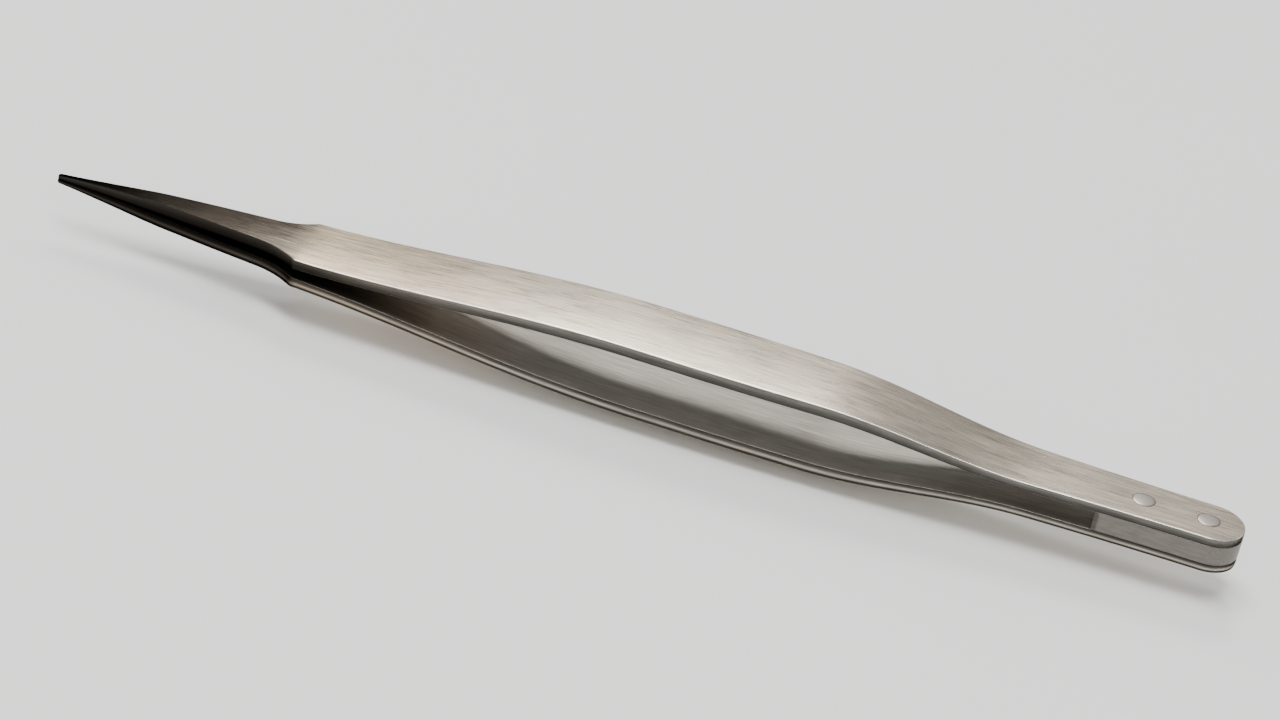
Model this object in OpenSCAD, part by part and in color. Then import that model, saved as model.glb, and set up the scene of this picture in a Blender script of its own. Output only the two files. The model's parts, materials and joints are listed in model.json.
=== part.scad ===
// Watchmaker's tweezers: two springy steel arms, riveted together over a spacer at the tail.
//
// X runs along the tool, from the tips (-X) to the tail (+X). Z is the way the arms open, and
// the flat crown of the lower arm rests on z = 0. The tips are drawn closed on thin work.
//
// Each arm is one strip that flexes just in front of the spacer. It is drawn as a blade and a
// heel, parted on the line about which it flexes: the blade's round nose turns in the heel's
// round seat.

/* [Overall] */
// Length from the tips to the end of the tail
overall_length = 120; // [114:1:132]
// How far each arm has swung open from closed tips, in degrees
arm_swing = 0; // [0:0.1:2]

/* [Points] */
// Length of the slender points, from the tips to the corner of the shoulder
point_length = 25.6; // [22:0.2:30]
// Space between the tips, closed on thin work
tip_gap = 0.1; // [0.05:0.05:0.5]
// Width of each tip
tip_width = 0.6; // [0.3:0.05:0.9]
// Thickness of each tip
tip_thickness = 0.34; // [0.2:0.02:0.6]
// Length of the fine nib at the end of each point
nib_length = 7; // [5:0.5:9]
// Width of the point where the fine nib ends
nib_width = 1.44; // [1:0.02:1.6]
// Width that the taper of the point reaches under the corner of the shoulder
point_width = 5.5; // [4:0.1:6]
// Thickness of the point behind its ground end
point_thickness = 1.12; // [0.9:0.02:1.2]
// Length over which the end of the point is ground thinner
ground_length = 11.5; // [8:0.5:14]
// Space between the arms under the shoulder, with the tips closed
shoulder_gap = 0.9; // [0.6:0.05:1.4]

/* [Grip] */
// Width at the corner of the shoulder
shoulder_width = 8.2; // [7.8:0.1:9]
// Radius of the hollow curve in front of the shoulder
shoulder_radius = 7; // [5:0.5:9]
// Widest part of the grip
grip_width = 9.6; // [9:0.1:11]
// Distance from the tips to the widest part of the grip
widest_at = 66; // [60:1:72]
// Thickness of each arm in the grip
grip_thickness = 1.24; // [1.1:0.02:1.4]
// Space between the arms in the grip, with the tips closed
grip_gap = 5.2; // [4.4:0.1:6.4]
// Distance from the tips to the flat crown of the bow
crown_start = 60; // [56:1:64]
// Length of the flat crown of the bow
crown_length = 18; // [12:1:20]

/* [Tail] */
// Width of the tail, and diameter of its round end
tail_width = 6.4; // [5.6:0.1:7.4]
// Thickness of each arm at the tail
heel_thickness = 0.9; // [0.7:0.05:1.1]
// Thickness of the spacer between the arms
spacer_thickness = 2; // [1.4:0.1:3]
// Length of the spacer
spacer_length = 14; // [12:0.5:16]
// Distance from the end of the tail to the line about which the arms flex
flex_from_tail = 19; // [18:0.5:20]
// Clearance of the round nose in its seat
flex_clearance = 0.02; // [0.01:0.01:0.05]

/* [Rivets] */
// Diameter of the rivet shanks
rivet_d = 1.6; // [1.2:0.1:2]
// Diameter of the flush countersunk heads
rivet_head_d = 2.4; // [2.2:0.1:2.8]
// Depth of the countersunk heads
rivet_head_h = 0.4; // [0.3:0.05:0.5]
// Distance between the two rivets
rivet_pitch = 6.4; // [5:0.2:7]
// Distance from the end of the tail to the rear rivet
rivet_rear_inset = 3.6; // [3:0.1:4]

/* [Hidden] */

$fn = 64;

// Places along the tool, measured from the tips
crown_end = crown_start + crown_length;
tail_round_at = overall_length - tail_width / 2;
flex_at = overall_length - flex_from_tail;
straight_heel_at = flex_at - 1;
spacer_start = overall_length - spacer_length;
rivet_rear_at = overall_length - rivet_rear_inset;
rivet_front_at = rivet_rear_at - rivet_pitch;

// The bow of each arm starts a little in front of the shoulder
bow_start = point_length - 4;
// Rise of the shoulder above the point's taper, and the run that its arc needs for it
shoulder_rise = (shoulder_width - point_width) / 2;
shoulder_run = sqrt(shoulder_rise * (2 * shoulder_radius - shoulder_rise));
flare_start = point_length - shoulder_run;

// Half of the closed height, from the middle plane to the crown of either arm
half_height = grip_gap / 2 + grip_thickness;
// Height of an arm's middle above the middle plane, where it flexes
flex_height = (spacer_thickness + heel_thickness) / 2;
// Half of the height of the riveted tail
tail_half_height = spacer_thickness / 2 + heel_thickness;

function mix(a, b, t) = a + (b - a) * t;
function part_way(s, from, to) = min(1, max(0, (s - from) / (to - from)));
function ease(t) = (1 - cos(180 * t)) / 2;
function steps(from, to, n) = [for (i = [0:n - 1]) mix(from, to, i / n)];

// Half of the width at a distance s from the tips, up to the shoulder and behind it
function nib_half(s) = mix(tip_width, nib_width, pow(s / nib_length, 1.5)) / 2;
function taper_half(s) = mix(nib_width, point_width, part_way(s, nib_length, point_length)) / 2;
function flare(s) = shoulder_radius - sqrt(pow(shoulder_radius, 2) - pow(s - flare_start, 2));
function point_half(s) =
    s < nib_length ? nib_half(s) : taper_half(s) + (s > flare_start ? flare(s) : 0);
function grip_half(s) =
    s < widest_at
        ? mix(shoulder_width, grip_width, sin(90 * part_way(s, point_length, widest_at))) / 2
        : mix(grip_width, tail_width, ease(part_way(s, widest_at, tail_round_at))) / 2;

// Half of the space between the closed arms at a distance s from the tips
function half_gap(s) =
    mix(tip_gap, shoulder_gap, ease(part_way(s, 0, point_length))) / 2
    + (grip_gap - shoulder_gap) / 2 * ease(part_way(s, bow_start, crown_start))
    - (grip_gap - spacer_thickness) / 2 * ease(part_way(s, crown_end, straight_heel_at));

// Thickness of an arm at a distance s from the tips
function thickness(s) =
    mix(tip_thickness, point_thickness, 1 - pow(1 - part_way(s, 0, ground_length), 1.5))
    + (grip_thickness - point_thickness) * ease(part_way(s, point_length, crown_start))
    - (grip_thickness - heel_thickness) * ease(part_way(s, crown_end, straight_heel_at));

point_stations = concat(steps(0, nib_length, 5), steps(nib_length, flare_start, 2),
    steps(flare_start, point_length, 6));
grip_stations = concat(steps(point_length, widest_at, 10), steps(widest_at, tail_round_at, 14),
    [tail_round_at]);
blade_stations = concat(steps(0, ground_length, 6), steps(ground_length, bow_start, 4),
    steps(bow_start, crown_start, 12), steps(crown_start, crown_end, 1),
    steps(crown_end, straight_heel_at, 10), [straight_heel_at, flex_at]);

// Stock of an arm's outline as seen from above, standing on the middle plane
module arm_plan(height) {
    edge = concat(
        [for (s = point_stations) [s, point_half(s)]],
        [for (s = grip_stations) [s, grip_half(s)]]
    );
    last = len(edge) - 1;
    linear_extrude(height = height)
        polygon(concat(edge, [for (i = [0:last]) [edge[last - i][0], -edge[last - i][1]]]));
    translate([tail_round_at, 0, 0]) cylinder(d = tail_width, h = height);
}

// A pin across the arms on the line about which they flex
module flex_pin(d) {
    translate([flex_at, 0, flex_height])
        rotate([90, 0, 0])
        cylinder(d = d, h = grip_width, center = true);
}

// A rivet whose flush countersunk heads close the whole stack of the tail
module rivet_body() {
    neck = tail_half_height - rivet_head_h;
    rotate_extrude()
        polygon([
            [0, -tail_half_height],
            [rivet_head_d / 2, -tail_half_height],
            [rivet_d / 2, -neck],
            [rivet_d / 2, neck],
            [rivet_head_d / 2, tail_half_height],
            [0, tail_half_height]
        ]);
}

module rivet_holes() {
    for (s = [rivet_front_at, rivet_rear_at]) translate([s, 0, 0]) rivet_body();
}

// Free length of an arm, from its tip to the round nose on which it turns
module blade() {
    last = len(blade_stations) - 1;
    intersection() {
        arm_plan(half_height);
        union() {
            rotate([90, 0, 0])
                linear_extrude(height = grip_width, center = true)
                polygon(concat(
                    [for (s = blade_stations) [s, half_gap(s) + thickness(s)]],
                    [for (i = [0:last])
                        [blade_stations[last - i], half_gap(blade_stations[last - i])]]
                ));
            flex_pin(heel_thickness);
        }
    }
}

// Riveted end of an arm, with the round seat for the nose of the blade
module heel() {
    rim_at = flex_at + heel_thickness / 4;
    difference() {
        intersection() {
            arm_plan(half_height);
            translate([rim_at, -grip_width / 2, spacer_thickness / 2])
                cube([overall_length - rim_at, grip_width, heel_thickness]);
        }
        flex_pin(heel_thickness + 2 * flex_clearance);
        rivet_holes();
    }
}

// Moves a piece from the tips and the middle plane to its place in the tool
module placed() {
    translate([-overall_length / 2, 0, half_height]) children();
}

// Swings a blade open about the line on which it flexes
module swung() {
    translate([flex_at, 0, flex_height])
        rotate([0, arm_swing, 0])
        translate([-flex_at, 0, -flex_height])
        children();
}

module upper_arm_blade() {
    color([0.66, 0.62, 0.57]) placed() swung() blade();
}

module upper_arm_heel() {
    color([0.7, 0.67, 0.62]) placed() heel();
}

module lower_arm_blade() {
    color([0.5, 0.47, 0.43]) placed() mirror([0, 0, 1]) swung() blade();
}

module lower_arm_heel() {
    color([0.55, 0.52, 0.48]) placed() mirror([0, 0, 1]) heel();
}

module tail_spacer() {
    color([0.36, 0.34, 0.32])
        placed()
        difference() {
            intersection() {
                translate([0, 0, -spacer_thickness / 2]) arm_plan(spacer_thickness);
                translate([spacer_start, -tail_width, -spacer_thickness])
                    cube([spacer_length, 2 * tail_width, 2 * spacer_thickness]);
            }
            rivet_holes();
        }
}

module tail_rivet(s) {
    color([0.78, 0.76, 0.72]) placed() translate([s, 0, 0]) rivet_body();
}

module tail_rivet_front() {
    tail_rivet(rivet_front_at);
}

module tail_rivet_rear() {
    tail_rivet(rivet_rear_at);
}

upper_arm_blade();
upper_arm_heel();
lower_arm_blade();
lower_arm_heel();
tail_spacer();
tail_rivet_front();
tail_rivet_rear();
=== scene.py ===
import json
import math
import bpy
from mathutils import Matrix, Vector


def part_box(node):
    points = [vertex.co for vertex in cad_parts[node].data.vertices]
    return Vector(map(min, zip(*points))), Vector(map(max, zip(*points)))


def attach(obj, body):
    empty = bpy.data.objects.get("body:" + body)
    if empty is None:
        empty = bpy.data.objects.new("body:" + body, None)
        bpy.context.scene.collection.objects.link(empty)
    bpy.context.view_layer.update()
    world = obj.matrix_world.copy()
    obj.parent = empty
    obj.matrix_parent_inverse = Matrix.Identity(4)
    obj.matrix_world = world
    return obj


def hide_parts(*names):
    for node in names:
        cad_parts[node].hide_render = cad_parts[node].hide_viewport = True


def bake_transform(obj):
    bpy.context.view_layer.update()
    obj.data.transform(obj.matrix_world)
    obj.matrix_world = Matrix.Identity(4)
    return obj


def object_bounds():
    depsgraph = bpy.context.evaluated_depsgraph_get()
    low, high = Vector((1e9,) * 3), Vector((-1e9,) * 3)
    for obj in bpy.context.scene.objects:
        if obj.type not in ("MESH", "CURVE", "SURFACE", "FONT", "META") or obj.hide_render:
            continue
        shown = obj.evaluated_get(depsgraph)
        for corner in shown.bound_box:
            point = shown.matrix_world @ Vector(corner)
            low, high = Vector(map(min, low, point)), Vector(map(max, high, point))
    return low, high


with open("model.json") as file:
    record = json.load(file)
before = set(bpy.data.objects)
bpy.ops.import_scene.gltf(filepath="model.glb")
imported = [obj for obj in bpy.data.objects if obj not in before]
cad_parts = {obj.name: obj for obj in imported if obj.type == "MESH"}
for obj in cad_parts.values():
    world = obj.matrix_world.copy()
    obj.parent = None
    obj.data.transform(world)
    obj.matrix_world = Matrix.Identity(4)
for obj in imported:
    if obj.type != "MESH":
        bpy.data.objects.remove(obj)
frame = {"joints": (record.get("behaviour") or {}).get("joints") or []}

# Watchmaker's tweezers. Lengths are in millimetres and run from the tips, as in the CAD model,
# until place() puts them in the row frame.
from types import SimpleNamespace

import bmesh
import bpy
import numpy as np
from mathutils import Quaternion, Vector

MM = 0.001
cad_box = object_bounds()

# ---- Places and sizes that come from the frame ----
JOINT = {joint["name"]: joint for joint in frame["joints"]}
UPPER_FLEX, LOWER_FLEX = JOINT["upper_arm_flex"], JOINT["lower_arm_flex"]
SPACER_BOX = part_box("tail_spacer")
RIVET_BOXES = [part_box("tail_rivet_front"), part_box("tail_rivet_rear")]

TIP_X = cad_box[0].x / MM
MIDDLE_Z = (cad_box[0].z + cad_box[1].z) / 2 / MM
LENGTH = (cad_box[1].x - cad_box[0].x) / MM
FLEX_AT = UPPER_FLEX["pos_m"][0] / MM - TIP_X
SPACER_AT = SPACER_BOX[0].x / MM - TIP_X
SPACER_THICKNESS = (SPACER_BOX[1].z - SPACER_BOX[0].z) / MM
TAIL_HALF_HEIGHT = (RIVET_BOXES[0][1].z - RIVET_BOXES[0][0].z) / 2 / MM
RIVET_HEAD_RADIUS = (RIVET_BOXES[0][1].x - RIVET_BOXES[0][0].x) / 2 / MM
HALF_HEIGHT = (cad_box[1].z - cad_box[0].z) / 2 / MM
GRIP_WIDTH = (cad_box[1].y - cad_box[0].y) / MM

# ---- Driving dimensions of the arms ----
POINT_LENGTH = 25.6
TIP_GAP, SHOULDER_GAP = 0.1, 0.9
TIP_WIDTH, NIB_WIDTH, POINT_WIDTH, SHOULDER_WIDTH, TAIL_WIDTH = 0.6, 1.44, 5.5, 8.2, 6.4
TIP_THICKNESS, POINT_THICKNESS, GRIP_THICKNESS = 0.34, 1.12, 1.24
HEEL_THICKNESS = TAIL_HALF_HEIGHT - SPACER_THICKNESS / 2
GRIP_GAP = 2 * (HALF_HEIGHT - GRIP_THICKNESS)
NIB_LENGTH, GROUND_LENGTH = 7, 11.5
SHOULDER_RADIUS = 7
WIDEST_AT, CROWN_START, CROWN_LENGTH = 66, 60, 18
CROWN_END = CROWN_START + CROWN_LENGTH
BOW_START = POINT_LENGTH - 4
STRAIGHT_HEEL_AT = FLEX_AT - 1
TIP_RADIUS, TAIL_RADIUS = TIP_WIDTH / 2, TAIL_WIDTH / 2
SHOULDER_RISE = (SHOULDER_WIDTH - POINT_WIDTH) / 2
SHOULDER_RUN = math.sqrt(SHOULDER_RISE * (2 * SHOULDER_RADIUS - SHOULDER_RISE))
FLARE_START = POINT_LENGTH - SHOULDER_RUN


def mix(a, b, t):
    return a + (b - a) * t


def part_way(s, start, end):
    return np.clip((s - start) / (end - start), 0, 1)


def ease(t):
    return (1 - np.cos(np.pi * t)) / 2


def place(points, side=1):
    """Row-frame metres for points given from the tips, across, and out from the middle plane."""
    points = np.asarray(points, float)
    return np.stack(
        [TIP_X + points[:, 0], points[:, 1], MIDDLE_Z + side * points[:, 2]], 1
    ) * MM


# ---- Shape of an arm ----
def sharp_half_width(s):
    """Half of the arm's width, with its corners still sharp and its ends still square."""
    nib = mix(TIP_WIDTH, NIB_WIDTH, (np.clip(s, 0, NIB_LENGTH) / NIB_LENGTH) ** 1.5)
    taper = mix(NIB_WIDTH, POINT_WIDTH, part_way(s, NIB_LENGTH, POINT_LENGTH))
    run = np.clip(s - FLARE_START, 0, SHOULDER_RUN)
    flare = SHOULDER_RADIUS - np.sqrt(SHOULDER_RADIUS**2 - run**2)
    front = mix(
        SHOULDER_WIDTH, GRIP_WIDTH, np.sin(np.pi / 2 * part_way(s, POINT_LENGTH, WIDEST_AT))
    )
    rear = mix(GRIP_WIDTH, TAIL_WIDTH, ease(part_way(s, WIDEST_AT, LENGTH - TAIL_RADIUS)))
    point = np.where(s < NIB_LENGTH, nib, taper) / 2 + flare
    return np.where(s < POINT_LENGTH, point, np.where(s < WIDEST_AT, front, rear) / 2)


# Places on a fine ruler along the arm, on which the corners of its outline are rounded over
RULER_STEP = 0.02
RULER = np.arange(0, LENGTH + RULER_STEP / 2, RULER_STEP)
CORNER_SOFTNESS = 0.1


def softened(values):
    """Values along the ruler with their corners rounded over."""
    reach = int(4 * CORNER_SOFTNESS / RULER_STEP)
    offsets = np.arange(-reach, reach + 1) * RULER_STEP
    weights = np.exp(-((offsets / CORNER_SOFTNESS) ** 2) / 2)
    padded = np.pad(values, reach, mode="edge")
    return np.convolve(padded, weights / weights.sum(), mode="valid")


SOFT_HALF_WIDTH = softened(sharp_half_width(RULER))


def half_width(s):
    """Half of the arm's width at a distance s from the tips, round at both ends."""
    width = np.interp(s, RULER, SOFT_HALF_WIDTH)
    into_tip = np.clip(1 - s / TIP_RADIUS, 0, 1)
    into_tail = np.clip((s - (LENGTH - TAIL_RADIUS)) / TAIL_RADIUS, 0, 1)
    return width * np.sqrt(1 - into_tip**2) * np.sqrt(1 - into_tail**2)


def half_gap(s):
    """Distance of the arm's inner face from the middle plane, with the tips closed."""
    point = mix(TIP_GAP, SHOULDER_GAP, ease(part_way(s, 0, POINT_LENGTH))) / 2
    bow = (GRIP_GAP - SHOULDER_GAP) / 2 * ease(part_way(s, BOW_START, CROWN_START))
    drop = (GRIP_GAP - SPACER_THICKNESS) / 2
    return point + bow - drop * ease(part_way(s, CROWN_END, STRAIGHT_HEEL_AT))


def thickness(s):
    """Thickness of the arm at a distance s from the tips."""
    ground = 1 - (1 - part_way(s, 0, GROUND_LENGTH)) ** 1.5
    point = mix(TIP_THICKNESS, POINT_THICKNESS, ground)
    grip = (GRIP_THICKNESS - POINT_THICKNESS) * ease(part_way(s, POINT_LENGTH, CROWN_START))
    heel = (GRIP_THICKNESS - HEEL_THICKNESS) * ease(part_way(s, CROWN_END, STRAIGHT_HEEL_AT))
    return point + grip - heel


# Cross-sections in the round tip and tail, and how far around the shoulder's corner and in front
# of the flex line they are closer together
TIP_SECTIONS, TAIL_SECTIONS = 8, 18
CORNER_REACH, FLEX_REACH = 0.5, 8


def round_tail(turns):
    """Places along the round end of the tail, at these angles around it."""
    return LENGTH - TAIL_RADIUS * (1 - np.sin(turns))


def arm_stations():
    """Places along the arm where it has a cross-section, closer together where it turns."""
    places = [TIP_RADIUS * (1 - np.cos(np.linspace(0, np.pi / 2, TIP_SECTIONS)))]
    start = TIP_RADIUS
    for end, sections in (
            (NIB_LENGTH, 20), (FLARE_START, 22), (POINT_LENGTH - CORNER_REACH, 16),
            (POINT_LENGTH + CORNER_REACH, 14), (FLEX_AT - FLEX_REACH, 80),
            (LENGTH - TAIL_RADIUS, 26)):
        places.append(np.linspace(start, end, sections)[1:])
        start = end
    places.append(round_tail(np.linspace(0, np.pi / 2, TAIL_SECTIONS))[1:])
    return np.concatenate(places)


def outline(stations):
    """The arm's edge on its +Y side, from tip to tail, and the edge's outward normals."""
    edge = np.stack([stations, half_width(stations)], 1)
    along = np.gradient(edge, axis=0)
    normal = np.stack([-along[:, 1], along[:, 0]], 1)
    normal /= np.linalg.norm(normal, axis=1)[:, None]
    normal[0] = (-1, 0)
    normal[-1] = (1, 0)
    return edge, normal


# Rounding of the edges along the outer and the inner face, and the bulge of the sides between
# them, each with the share of the arm's thickness that it never passes
OUTER_ROUNDING, OUTER_SHARE = 0.08, 0.16
INNER_ROUNDING, INNER_SHARE = 0.03, 0.08
SIDE_BULGE, BULGE_SHARE = 0.03, 0.04
# How strongly the rounded edges are marked for the painted edge shade and highlight, and for the
# bump
OUTER_EDGE_MARK, INNER_EDGE_MARK = 1.3, 0.4
# How far the outer face stands proud in the middle of its width, at places along the arm
DOME_AT = (0, 8, 16, 22, 27, 40, LENGTH)
DOME = (0.005, 0.01, 0.02, 0.06, 0.15, 0.16, 0.03)


def edge_profile(s):
    """Steps down the edge of an arm: the inset, the height from the inner to the outer face as
    a share, a shift on top of that, and the marks side, edge, depth and inner."""
    outer = min(OUTER_ROUNDING, OUTER_SHARE * thickness(s))
    inner = min(INNER_ROUNDING, INNER_SHARE * thickness(s))
    bulge = min(SIDE_BULGE, BULGE_SHARE * thickness(s))
    steps = []
    for turn in np.linspace(0, np.pi / 2, 5):
        inset = bulge + outer * (1 - math.sin(turn))
        steps.append((inset, 1, -outer * (1 - math.cos(turn)), turn / (np.pi / 2),
                      OUTER_EDGE_MARK * math.sin(2 * turn) * math.cos(turn), 0, 0))
    for depth in (0.2, 0.4, 0.6, 0.8):
        share = mix(1 - outer / thickness(s), inner / thickness(s), depth)
        steps.append((bulge * (2 * depth - 1) ** 2, share, 0, 1, 0, depth, 0))
    for turn in np.linspace(0, np.pi / 2, 4):
        inset = bulge + inner * (1 - math.cos(turn))
        steps.append((inset, 0, inner * (1 - math.sin(turn)), 1,
                      INNER_EDGE_MARK * math.sin(2 * turn), 1, turn / (np.pi / 2)))
    return steps


def outer_height(s, y):
    """Height of the outer face above the middle plane."""
    width = max(np.interp(s, RULER, SOFT_HALF_WIDTH), RULER_STEP / 2)
    fall = np.interp(s, DOME_AT, DOME) * min(1, (y / width) ** 2)
    return half_gap(s) + thickness(s) - fall


# Places of the vertices across a face, as shares of its half width
FACE_COLUMNS = np.array([1, 0.96, 0.88, 0.7, 0.46, 0.22, 0, -0.22, -0.46, -0.7, -0.88, -0.96, -1])


class Sheet:
    """Vertices with their rest place and marks, and the faces between them."""

    def __init__(self):
        self.points, self.marks, self.faces = [], [], []

    def add(self, x, y, z, side=0.0, edge=0.0, depth=0.0, inner=0.0):
        self.points.append((x, y, z))
        self.marks.append((side, edge, depth, inner))
        return len(self.points) - 1

    def ring(self, first, second):
        """Quads between two closed rows of vertices."""
        for i in range(len(first)):
            j = (i + 1) % len(first)
            self.faces.append((first[i], first[j], second[j], second[i]))

    def strip(self, first, second):
        """Quads between two open rows of vertices, or a fan where a row is one vertex."""
        for i in range(max(len(first), len(second)) - 1):
            corners = [first[min(i, len(first) - 1)], first[min(i + 1, len(first) - 1)],
                       second[min(i + 1, len(second) - 1)], second[min(i, len(second) - 1)]]
            self.faces.append(tuple(dict.fromkeys(corners)))

    def build(self, name, side=1, base=None):
        """A mesh object in the row frame, with its marks as attributes. The grain of its finish
        follows a base height that changes along the tool, if there is one."""
        mesh = bpy.data.meshes.new(name)
        mesh.from_pydata(place(self.points, side).tolist(), [], self.faces)
        grain_at = np.array(self.points, float)
        if base is not None:
            grain_at[:, 2] -= base(grain_at[:, 0])
        rest = mesh.attributes.new("rest_mm", "FLOAT_VECTOR", "POINT")
        rest.data.foreach_set("vector", grain_at.astype(np.float32).ravel())
        for column, label in enumerate(("side_mark", "edge_mark", "depth_mark", "inner_mark")):
            mark = mesh.attributes.new(label, "FLOAT", "POINT")
            mark.data.foreach_set("value", np.array(self.marks, np.float32)[:, column].copy())
        work = bmesh.new()
        work.from_mesh(mesh)
        bmesh.ops.recalc_face_normals(work, faces=work.faces)
        work.to_mesh(mesh)
        work.free()
        mesh.shade_smooth()
        obj = bpy.data.objects.new(name, mesh)
        bpy.context.scene.collection.objects.link(obj)
        flatten = obj.modifiers.new("face_normals", "WEIGHTED_NORMAL")
        flatten.keep_sharp = True
        return obj


def arm(name, side):
    """One arm, from tip to tail, as the ground and softened strip that it is."""
    sheet = Sheet()
    stations = arm_stations()
    edge, normal = outline(stations)
    last = len(stations) - 1
    around = [(i, 1) for i in range(last + 1)] + [(i, -1) for i in range(last - 1, 0, -1)]
    rings = []
    for i, hand in around:
        column = []
        for inset, share, shift, *marks in edge_profile(stations[i]):
            x = edge[i, 0] - normal[i, 0] * inset
            y = hand * (edge[i, 1] - normal[i, 1] * inset)
            z = mix(half_gap(x), outer_height(x, y), share) + shift
            column.append(sheet.add(x, y, z, *marks))
        rings.append(column)
    for k in range(len(rings[0]) - 1):
        sheet.ring([r[k] for r in rings], [r[k + 1] for r in rings])
    for k, on_outer_face in ((0, True), (len(rings[0]) - 1, False)):
        previous = [rings[0][k]]
        for i in range(1, last + 1):
            if i == last:
                row = [rings[i][k]]
            else:
                right, left = rings[i][k], rings[2 * last - i][k]
                x, reach, _ = sheet.points[right]
                row = [right]
                for share in FACE_COLUMNS[1:-1]:
                    y = reach * share
                    z = outer_height(x, y) if on_outer_face else half_gap(x)
                    row.append(sheet.add(x, y, z, inner=0.0 if on_outer_face else 1.0))
                row.append(left)
            sheet.strip(previous, row)
            previous = row
    return sheet.build(name, side, half_gap)


SPACER_ROUNDING = 0.07


def plate(name, edge, low, high, rounding):
    """A flat plate with the given closed outline, between two heights, with softened edges."""
    sheet = Sheet()
    edge = np.asarray(edge, float)
    along = np.roll(edge, -1, 0) - np.roll(edge, 1, 0)
    normal = np.stack([along[:, 1], -along[:, 0]], 1)
    normal /= np.linalg.norm(normal, axis=1)[:, None]
    rows = []
    for turn in np.linspace(0, np.pi / 2, 4):
        rows.append((rounding * (1 - math.sin(turn)), high - rounding * (1 - math.cos(turn))))
    rows += [(inset, low + high - z) for inset, z in reversed(rows)]
    loops = []
    for inset, z in rows:
        inner = edge - normal * inset
        loops.append([sheet.add(x, y, z, 1) for x, y in inner])
    for first, second in zip(loops, loops[1:]):
        sheet.ring(first, second)
    sheet.faces.append(tuple(loops[0]))
    sheet.faces.append(tuple(reversed(loops[-1])))
    return sheet.build(name)


def spacer():
    """The spacer between the heels, flush with them all round."""
    side = np.linspace(SPACER_AT, LENGTH - TAIL_RADIUS, 14)
    tail = round_tail(np.linspace(0, np.pi / 2, TAIL_SECTIONS)[1:-1])
    along = np.concatenate([side, tail])
    upper = np.stack([along, half_width(along)], 1)
    lower = upper[::-1] * (1, -1)
    edge = np.concatenate([upper, [(LENGTH, 0)], lower])[::-1]
    half = SPACER_THICKNESS / 2
    return plate("tail_spacer_body", edge, -half, half, SPACER_ROUNDING)


RIVET_STEPS = 48
# Top of a rivet's slightly domed head: its height above the arm, and the radius of the tiny flat
# in its middle
RIVET_TOP, RIVET_FLAT = 0.07, 0.001
# The head from there to its shank: the radius as a share of the head's, and the height above the
# arm
RIVET_HEAD = ((0.3, 0.066), (0.6, 0.055), (0.82, 0.038), (0.94, 0.016), (1, -0.03), (0.97, -0.08),
              (0.68, -0.4))
# Steps of the head, counted from 0 at its flat, that are marked as its rim
RIM_STEPS = (4, 5)


def rivet(name, box):
    """A countersunk rivet through the tail, with slightly domed heads."""
    sheet = Sheet()
    centre = (box[0].x + box[1].x) / 2 / MM - TIP_X
    head = [(RIVET_FLAT, TAIL_HALF_HEIGHT + RIVET_TOP)]
    head += [(share * RIVET_HEAD_RADIUS, TAIL_HALF_HEIGHT + rise) for share, rise in RIVET_HEAD]
    profile = head + [(radius, -z) for radius, z in reversed(head)]
    loops = []
    for step, (radius, z) in enumerate(profile):
        on_rim = 1.0 if min(step, len(profile) - 1 - step) in RIM_STEPS else 0.0
        loops.append([
            sheet.add(centre + radius * math.cos(a), radius * math.sin(a), z, 0, on_rim)
            for a in np.linspace(0, 2 * np.pi, RIVET_STEPS, endpoint=False)
        ])
    for first, second in zip(loops, loops[1:]):
        sheet.ring(first, second)
    sheet.faces.append(tuple(loops[0]))
    sheet.faces.append(tuple(loops[-1]))
    return sheet.build(name)


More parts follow.
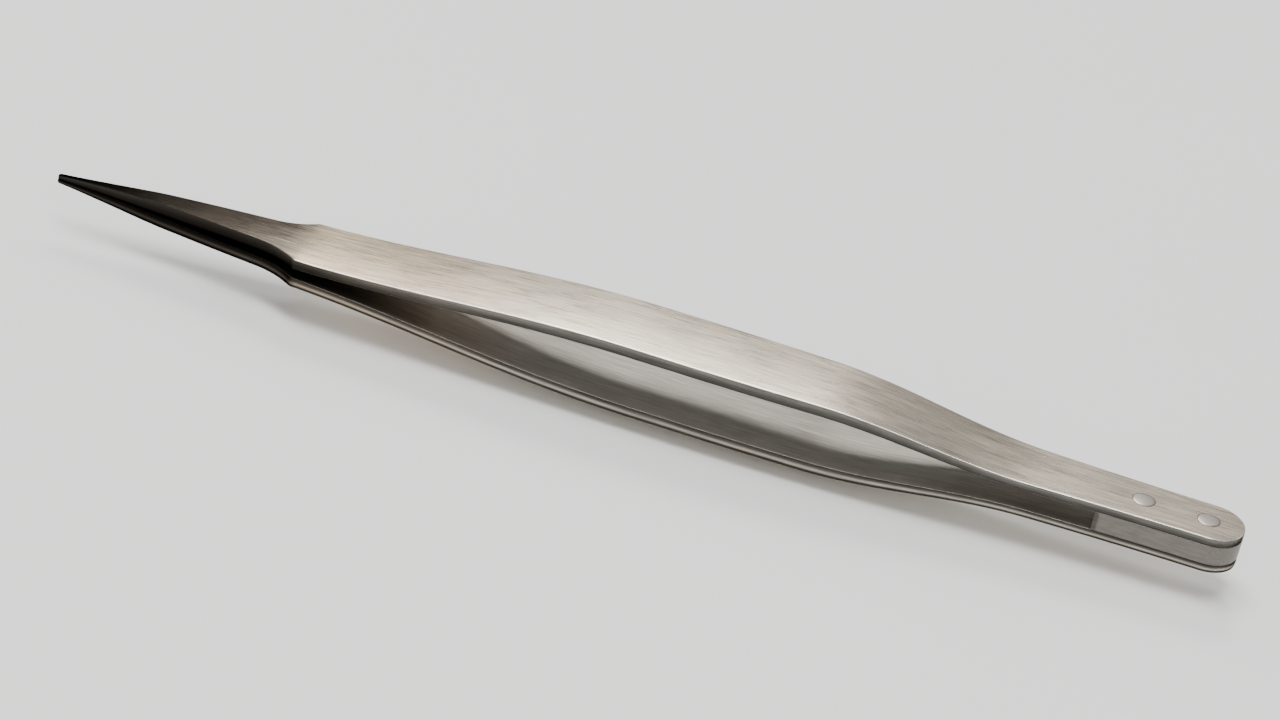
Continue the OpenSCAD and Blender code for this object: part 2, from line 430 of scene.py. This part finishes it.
# ---- Materials ----
class Nodes:
    """A material's node tree, with short calls to add nodes and join them."""

    def __init__(self, name):
        self.material = bpy.data.materials.new(name)
        self.material.use_nodes = True
        self.tree = self.material.node_tree
        self.shader = self.tree.nodes["Principled BSDF"]

    def add(self, kind, inputs=(), **settings):
        """A node with these settings. Its inputs are values, or sockets to join it to."""
        node = self.tree.nodes.new("ShaderNode" + kind)
        for key, value in settings.items():
            setattr(node, key, value)
        for key, value in dict(inputs).items():
            if isinstance(value, bpy.types.NodeSocket):
                self.tree.links.new(value, node.inputs[key])
            else:
                node.inputs[key].default_value = value
        return node

    def shade(self, **inputs):
        """Set or join the inputs of the material's shader."""
        for key, value in inputs.items():
            socket = self.shader.inputs[key.replace("_", " ")]
            if isinstance(value, bpy.types.NodeSocket):
                self.tree.links.new(value, socket)
            else:
                socket.default_value = value

    def mark(self, name):
        """A node that reads an attribute of the mesh."""
        return self.add("Attribute", attribute_name=name, attribute_type="GEOMETRY")

    def noise(self, place, stretch, detail=4.0, roughness=0.6):
        """Noise over a place in millimetres, stretched by a factor along each axis."""
        scaled = self.add("VectorMath", {0: place, 1: stretch}, operation="MULTIPLY")
        return self.add("TexNoise", {"Vector": scaled.outputs[0], "Scale": 1.0,
                                     "Detail": detail, "Roughness": roughness}).outputs["Fac"]

    def ramp(self, value, *stops):
        """A colour that follows a value through stops, each a place and a colour."""
        node = self.add("ValToRGB", {"Fac": value})
        while len(node.color_ramp.elements) < len(stops):
            node.color_ramp.elements.new(0.5)
        for element, (at, colour) in zip(node.color_ramp.elements, stops):
            element.position = at
            element.color = (*colour, 1)
        return node.outputs["Color"]

    def tone(self, value, low, high, dark, light):
        """A neutral tone that goes from dark to light while the value goes from low to high."""
        return self.ramp(value, (low, (dark,) * 3), (high, (light,) * 3))

    def span(self, value, low, high, to_low=0.0, to_high=1.0):
        """The value's way from low to high, as a number from to_low to to_high."""
        return self.add("MapRange", {"Value": value, "From Min": low, "From Max": high,
                                     "To Min": to_low, "To Max": to_high}).outputs["Result"]

    def math(self, operation, a, b):
        return self.add("Math", {0: a, 1: b}, operation=operation).outputs[0]

    def blend(self, share, a, b, kind="MIX"):
        """Two colours mixed, or blended in another way, by a share."""
        node = self.add("Mix", data_type="RGBA", blend_type=kind)
        for socket, value in ((0, share), (6, a), (7, b)):
            if isinstance(value, bpy.types.NodeSocket):
                self.tree.links.new(value, node.inputs[socket])
            else:
                node.inputs[socket].default_value = value
        return node.outputs[2]

    def times(self, a, b):
        """The product of two colours."""
        return self.blend(1.0, a, b, "MULTIPLY")


def grey(value, warmth):
    """A grey that leans a little towards warm."""
    return (value * (1 + 1.3 * warmth), value, value * (1 - 1.5 * warmth))


# Brightness of the steel's outer face at places along the arm: dark points, then a bright brushed
# grip. The darkness of the points is partly painted reflection and partly the steel's darker
# finish there
FACE_TONES_AND_REFLECTION = ((0, 0.009), (3, 0.01), (6, 0.015), (8, 0.024), (10, 0.033), (13, 0.037),
              (16, 0.053), (19, 0.066), (22, 0.092), (23.7, 0.142), (25.2, 0.265), (26.5, 0.46),
              (28, 0.56), (36, 0.6))
# Painted shade and light on the sides of the arms: both are painted dark and grow lighter towards
# the grip, and the lower one has a painted bright patch just behind the shoulder
UPPER_SIDE_PAINTED_SHADE = ((0, 0.034), (7, 0.034), (10, 0.03), (16, 0.026), (19, 0.026), (22, 0.03),
                    (25.3, 0.046), (28, 0.06), (32, 0.12), (40, 0.2))
LOWER_SIDE_PAINTED_LIGHT_AND_SHADE = ((0, 0.03), (10, 0.03), (16, 0.036), (20, 0.048), (24.6, 0.055), (25.4, 0.05),
                    (26.2, 0.25), (28, 0.29), (40, 0.36))
# Painted shade on the inner faces, in the gap between the arms: near black at the points and
# lighter towards the grip
INNER_PAINTED_SHADE = ((0, 0.012), (22, 0.02), (27, 0.08), (40, 0.3))
# Painted shading from the outer (0) to the inner (1) edge of a side: the upper arm's side darkens
# downwards, and the lower arm's side carries a painted bright line between dark edges
UPPER_SIDE_PAINTED_SHADES = ((0, 0.95), (0.15, 0.72), (0.5, 0.42), (0.95, 0.22))
LOWER_SIDE_PAINTED_SHADES_AND_HIGHLIGHT = ((0, 0.08), (0.22, 0.12), (0.36, 0.85), (0.46, 1.0), (0.58, 0.55), (0.7, 0.22),
                     (0.95, 0.08))
# Place along the arm behind which its tones stay the same
TONE_REACH = 40
FACE_WARMTH, SIDE_WARMTH, INNER_WARMTH, SATIN_WARMTH = 0.1, 0.11, 0.1, 0.07
# The steel is warm at the shoulder and plainer further back
PLAIN_STEEL_TINT = (0.9, 1, 1.16)
# Stretches of the arm over which the finish changes: the grain grows, the long strokes and the
# scratches begin, the steel turns plainer, and its edges turn from painted shade to a painted
# highlight, partly worn bright steel
GRAIN_GROWS, SCRATCHES_BEGIN, STEEL_TURNS_PLAIN = (14, 25), (17, 25), (26, 50)
PAINTED_EDGE_SHADE_ENDS, WORN_EDGE_HIGHLIGHT_BEGINS = (21, 25.5), (25, 27.5)
SCRATCH_COLOUR = (*grey(0.85, 0.14), 1)
# The painted edge highlight, which also stands for worn bright steel, and the painted shade on the
# edges of the points
WORN_EDGE_HIGHLIGHT_COLOUR = (*grey(0.9, 0.06), 1)
PAINTED_EDGE_SHADE_COLOUR = (*grey(0.006, 0.1), 1)
RIM_COLOUR = (*grey(0.03, SATIN_WARMTH), 1)
# How far the tones of the face wander along the arm, from side to side
TONE_WANDER = 3.5
# Kinds of scratches: the angle to the arm, the stretch of their noise, and how rare they are
SCRATCHES = ((0, (0.1, 6.0, 1.0), 0.6), (3, (0.22, 11.0, 1.0), 0.62), (-4, (0.16, 8.0, 1.0), 0.64))
SCRATCH_SOFTNESS = 0.08


def along_ramp(n, along, tones, warmth):
    """Colours at places along the arm, warmer where they are brighter."""
    reach = n.span(along, 0, TONE_REACH)
    return n.ramp(reach, *((at / TONE_REACH, grey(tone, warmth * (1 + 1.5 * tone)))
                           for at, tone in tones))


def arm_marks(n):
    """The marks that an arm's mesh carries, its rest place, and its place along the arm."""
    rest = n.mark("rest_mm").outputs["Vector"]
    marks = {mark: n.mark(mark + "_mark").outputs["Fac"]
             for mark in ("side", "edge", "depth", "inner")}
    return SimpleNamespace(rest=rest, along=n.add("SeparateXYZ", {0: rest}).outputs["X"], **marks)


def colour_with_painted_light(n, at, side_light_and_shade, side_painted_shades):
    """Colour of the faces and sides of an arm, before its grain: painted reflection in the face's
    dark points, painted shade and light on the sides, and painted shade on the inner faces.
    """
    wander = n.math("SUBTRACT", n.noise(at.rest, (0.12, 1.3, 1.3), 3.0), 0.5)
    wandering = n.math("ADD", at.along, n.math("MULTIPLY", wander, TONE_WANDER))
    painted_shades = n.ramp(at.depth, *((depth, (shade,) * 3) for depth, shade in side_painted_shades))
    colour = n.blend(at.side, along_ramp(n, wandering, FACE_TONES_AND_REFLECTION, FACE_WARMTH),
                     n.times(along_ramp(n, at.along, side_light_and_shade, SIDE_WARMTH), painted_shades))
    colour = n.blend(at.inner, colour, along_ramp(n, at.along, INNER_PAINTED_SHADE, INNER_WARMTH))
    return n.blend(n.span(at.along, *STEEL_TURNS_PLAIN), colour,
                   n.times(colour, (*PLAIN_STEEL_TINT, 1)))


def grained(n, at, colour, brush, fine):
    """The colour with the grain of the brush, which grows towards the grip."""
    stroke = n.noise(at.rest, (0.2, 3.6, 3.6), 5.0, 0.7)
    grain = n.times(n.tone(brush, 0.3, 0.7, 0.76, 1.21), n.tone(fine, 0.2, 0.8, 0.84, 1.14))
    grain = n.blend(n.span(at.along, *SCRATCHES_BEGIN), grain,
                    n.times(grain, n.tone(stroke, 0.34, 0.66, 0.8, 1.2)))
    return n.blend(n.span(at.along, *GRAIN_GROWS, 0.3, 1.0), colour, n.times(colour, grain))


def scratches(n, at):
    """Fine straight scratches at small angles to the arm, on the outer face of its grip."""
    deepest = 0.0
    for angle, stretch, level in SCRATCHES:
        turned = n.add("VectorRotate", {"Vector": at.rest, "Angle": math.radians(angle)},
                       rotation_type="Z_AXIS").outputs[0]
        lines = n.span(n.noise(turned, stretch, 2.0, 0.5), level, level + SCRATCH_SOFTNESS)
        deepest = n.math("MAXIMUM", deepest, lines)
    on_face = n.math("SUBTRACT", 1.0, n.math("MAXIMUM", at.side, at.inner))
    shown = n.math("MULTIPLY", n.span(at.along, *SCRATCHES_BEGIN), on_face)
    return n.math("MULTIPLY", deepest, shown)


def with_edges(n, at, colour, wear_and_highlight):
    """The colour with a painted shade on the edges of the points and a painted highlight, partly
    worn bright steel, on the edges of the grip.
    """
    # Painted highlight on the grip's edges, partly worn bright steel
    worn_highlight = n.math("MULTIPLY", at.edge, n.span(at.along, *WORN_EDGE_HIGHLIGHT_BEGINS, 0.0, wear_and_highlight))
    colour = n.blend(worn_highlight, colour, WORN_EDGE_HIGHLIGHT_COLOUR)
    # Painted shade on the edges of the points
    dark = n.math("MULTIPLY", at.edge, n.span(at.along, *PAINTED_EDGE_SHADE_ENDS, 0.75, 0.0))
    return n.blend(dark, colour, PAINTED_EDGE_SHADE_COLOUR)


def arm_steel(name, side_light_and_shade, side_painted_shades, wear_and_highlight):
    """Steel brushed along the arm, dark at the tips and brightening towards the grip, partly by
    painted reflection, with painted shade and light on its sides, in the gap and on its edges.
    """
    n = Nodes(name)
    at = arm_marks(n)
    brush = n.noise(at.rest, (0.2, 9.0, 9.0), 6.0, 0.65)
    fine = n.noise(at.rest, (0.3, 34.0, 34.0), 3.0, 0.6)
    cloud = n.noise(at.rest, (0.2, 0.5, 0.5), 3.0, 0.5)
    streaks = scratches(n, at)

    colour = grained(n, at, colour_with_painted_light(n, at, side_light_and_shade, side_painted_shades), brush, fine)
    colour = n.times(colour, n.tone(cloud, 0.3, 0.7, 0.96, 1.03))
    colour = n.blend(n.math("MULTIPLY", streaks, 0.35), colour, SCRATCH_COLOUR)
    colour = with_edges(n, at, colour, wear_and_highlight)

    rough = n.span(brush, 0.25, 0.75, 0.23, 0.34)
    rough = n.math("ADD", rough, n.span(cloud, 0.3, 0.7, -0.02, 0.02))
    rough = n.math("ADD", rough, n.math("MULTIPLY", at.inner, 0.06))
    height = n.math("ADD", n.math("MULTIPLY", brush, 0.6), n.math("MULTIPLY", fine, 0.4))
    height = n.math("SUBTRACT", height, n.math("MULTIPLY", streaks, 0.08))
    bump = n.add("Bump", {"Height": height, "Strength": n.span(at.edge, 0, 1, 0.4, 0.1),
                          "Distance": 0.00002})
    normal = n.add("NewGeometry").outputs["Normal"]
    across = n.add("VectorMath", {0: normal, 1: (1, 0, 0)}, operation="CROSS_PRODUCT")
    n.shade(Base_Color=colour, Metallic=1.0, Roughness=rough, Normal=bump.outputs["Normal"],
            Tangent=across.outputs[0], Anisotropic=0.45, Specular_Tint=(0.3, 0.3, 0.3, 1))
    return n.material


def satin_steel(name, tone, roughness):
    """Plain satin steel with fine turning or grinding marks."""
    n = Nodes(name)
    rest = n.mark("rest_mm").outputs["Vector"]
    edge = n.mark("edge_mark").outputs["Fac"]
    grind = n.noise(rest, (0.6, 14.0, 3.0), 4.0, 0.6)
    dark, light = grey(0.75 * tone, SATIN_WARMTH), grey(1.2 * tone, SATIN_WARMTH)
    shade = n.ramp(grind, (0.25, dark), (0.75, light))
    colour = n.blend(n.math("MULTIPLY", edge, 0.8), shade, RIM_COLOUR)
    bump = n.add("Bump", {"Height": grind, "Strength": 0.3, "Distance": 0.00001})
    n.shade(Base_Color=colour, Metallic=1.0, Normal=bump.outputs["Normal"],
            Roughness=n.span(grind, 0.3, 0.7, roughness - 0.06, roughness + 0.06))
    return n.material


def floor_paint(name):
    """A plain pale studio floor."""
    n = Nodes(name)
    place_on_floor = n.add("TexCoord").outputs["Object"]
    cloud = n.noise(place_on_floor, (6.0, 6.0, 6.0), 3.0)
    n.shade(Base_Color=n.ramp(cloud, (0.3, (0.8, 0.8, 0.79)), (0.7, (0.83, 0.83, 0.82))),
            Roughness=0.75)
    return n.material


# ---- Camera, light and floor ----
# The view's angles around and above the tool, and the tool's slope across the view
AZIMUTH, ELEVATION, SLOPE = math.radians(8), math.radians(30), math.radians(17.4)
LENS, SENSOR = 135, 36
# Share of the view's width that the tool fills
FRAME_FILL = 0.93
# Lights: name, place from the middle of the tool in metres, size in metres, power in watts, tint
WHITE = (1, 1, 1)
LIGHTS = (
    ("back", (-0.2, 0.8, 0.95), (0.3, 0.35), 5.0, (1, 0.97, 0.93)),
    ("top", (-0.1, -0.12, 0.9), (0.8, 0.35), 10.0, WHITE),
    ("front", (-0.3, -0.7, 0.3), (0.5, 0.3), 0.8, WHITE),
    ("left_back", (-0.8, 0.45, 0.4), (0.4, 0.3), 1.2, WHITE),
    ("right_back", (0.8, 0.45, 0.4), (0.4, 0.3), 1.2, WHITE),
    ("left_front", (-0.8, -0.45, 0.4), (0.4, 0.3), 1.2, WHITE),
    ("right_front", (0.8, -0.45, 0.4), (0.4, 0.3), 1.2, WHITE),
)
SKY_COLOUR, SKY_STRENGTH = (0.78, 0.79, 0.8, 1), 0.55
# Half of the floor's width, and its distance under the reach of the open lower arm, in metres
FLOOR_HALF, FLOOR_CLEARANCE = 4.0, 0.0001


def make_camera(target):
    """A camera at the angles above, far enough back to have the whole tool in view."""
    data = bpy.data.cameras.new("camera")
    data.lens, data.sensor_width = LENS, SENSOR
    data.clip_start, data.clip_end = 0.01, 20
    camera = bpy.data.objects.new("camera", data)
    bpy.context.scene.collection.objects.link(camera)
    back = Vector((math.sin(AZIMUTH) * math.cos(ELEVATION),
                   -math.cos(AZIMUTH) * math.cos(ELEVATION), math.sin(ELEVATION)))
    own_slope = math.atan(math.tan(AZIMUTH) * math.sin(ELEVATION))
    shown = LENGTH * MM * math.cos(SLOPE) / FRAME_FILL
    camera.location = target + back * (shown * LENS / SENSOR)
    level = (-back).to_track_quat("-Z", "Y")
    camera.rotation_mode = "QUATERNION"
    camera.rotation_quaternion = Quaternion(back, SLOPE - own_slope) @ level
    bpy.context.scene.camera = camera


def soft_light(target, name, offset, size, power, tint):
    """A rectangular light, turned towards the target."""
    data = bpy.data.lights.new(name, "AREA")
    data.shape, data.size, data.size_y = "RECTANGLE", size[0], size[1]
    data.energy, data.color = power, tint
    light = bpy.data.objects.new(name, data)
    bpy.context.scene.collection.objects.link(light)
    light.location = target + Vector(offset)
    light.rotation_mode = "QUATERNION"
    light.rotation_quaternion = (target - light.location).to_track_quat("-Z", "Y")


def make_floor():
    """The floor lies just under the lowest reach of the lower arm when it opens."""
    reach = LOWER_FLEX["pos_m"][0] - (TIP_X + CROWN_START) * MM
    drop = reach * math.sin(math.radians(LOWER_FLEX["range_deg"][1]))
    level = cad_box[0].z - drop - FLOOR_CLEARANCE
    mesh = bpy.data.meshes.new("floor")
    corners = [(x * FLOOR_HALF, y * FLOOR_HALF, level)
               for x, y in ((-1, -1), (1, -1), (1, 1), (-1, 1))]
    mesh.from_pydata(corners, [], [(0, 1, 2, 3)])
    floor = bpy.data.objects.new("floor", mesh)
    bpy.context.scene.collection.objects.link(floor)
    mesh.materials.append(floor_paint("floor_paint"))


def make_studio(target):
    """Camera, floor, lights and a pale sky around the target."""
    make_camera(target)
    make_floor()
    for light in LIGHTS:
        soft_light(target, *light)
    world = bpy.data.worlds.new("studio")
    world.use_nodes = True
    background = world.node_tree.nodes["Background"]
    background.inputs["Color"].default_value = SKY_COLOUR
    background.inputs["Strength"].default_value = SKY_STRENGTH
    bpy.context.scene.world = world


# ---- The tweezers ----
def finish_piece(obj, material):
    """Give a piece its material."""
    obj.data.materials.append(material)


make_studio((cad_box[0] + cad_box[1]) / 2)

# The two arms are lit and shaded copies of one steel: their sides get different painted shade and
# light, and the upper arm's edges a stronger painted highlight
for hand, side, tones, painted_shades, wear_and_highlight in (
        ("upper", 1, UPPER_SIDE_PAINTED_SHADE, UPPER_SIDE_PAINTED_SHADES, 0.95),
        ("lower", -1, LOWER_SIDE_PAINTED_LIGHT_AND_SHADE, LOWER_SIDE_PAINTED_SHADES_AND_HIGHLIGHT, 0.25)):
    strip = arm(hand + "_arm_strip", side)
    finish_piece(strip, arm_steel(hand + "_arm_steel", tones, painted_shades, wear_and_highlight))
    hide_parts(hand + "_arm_blade", hand + "_arm_heel")
    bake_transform(strip)

body = spacer()
finish_piece(body, satin_steel("spacer_satin", tone=0.16, roughness=0.4))
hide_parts("tail_spacer")
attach(body, "tail")

rivet_finish = satin_steel("rivet_satin", tone=0.55, roughness=0.32)
for place_name, box in zip(("front", "rear"), RIVET_BOXES):
    pin = rivet("rivet_" + place_name, box)
    finish_piece(pin, rivet_finish)
    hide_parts("tail_rivet_" + place_name)
    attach(pin, "tail")
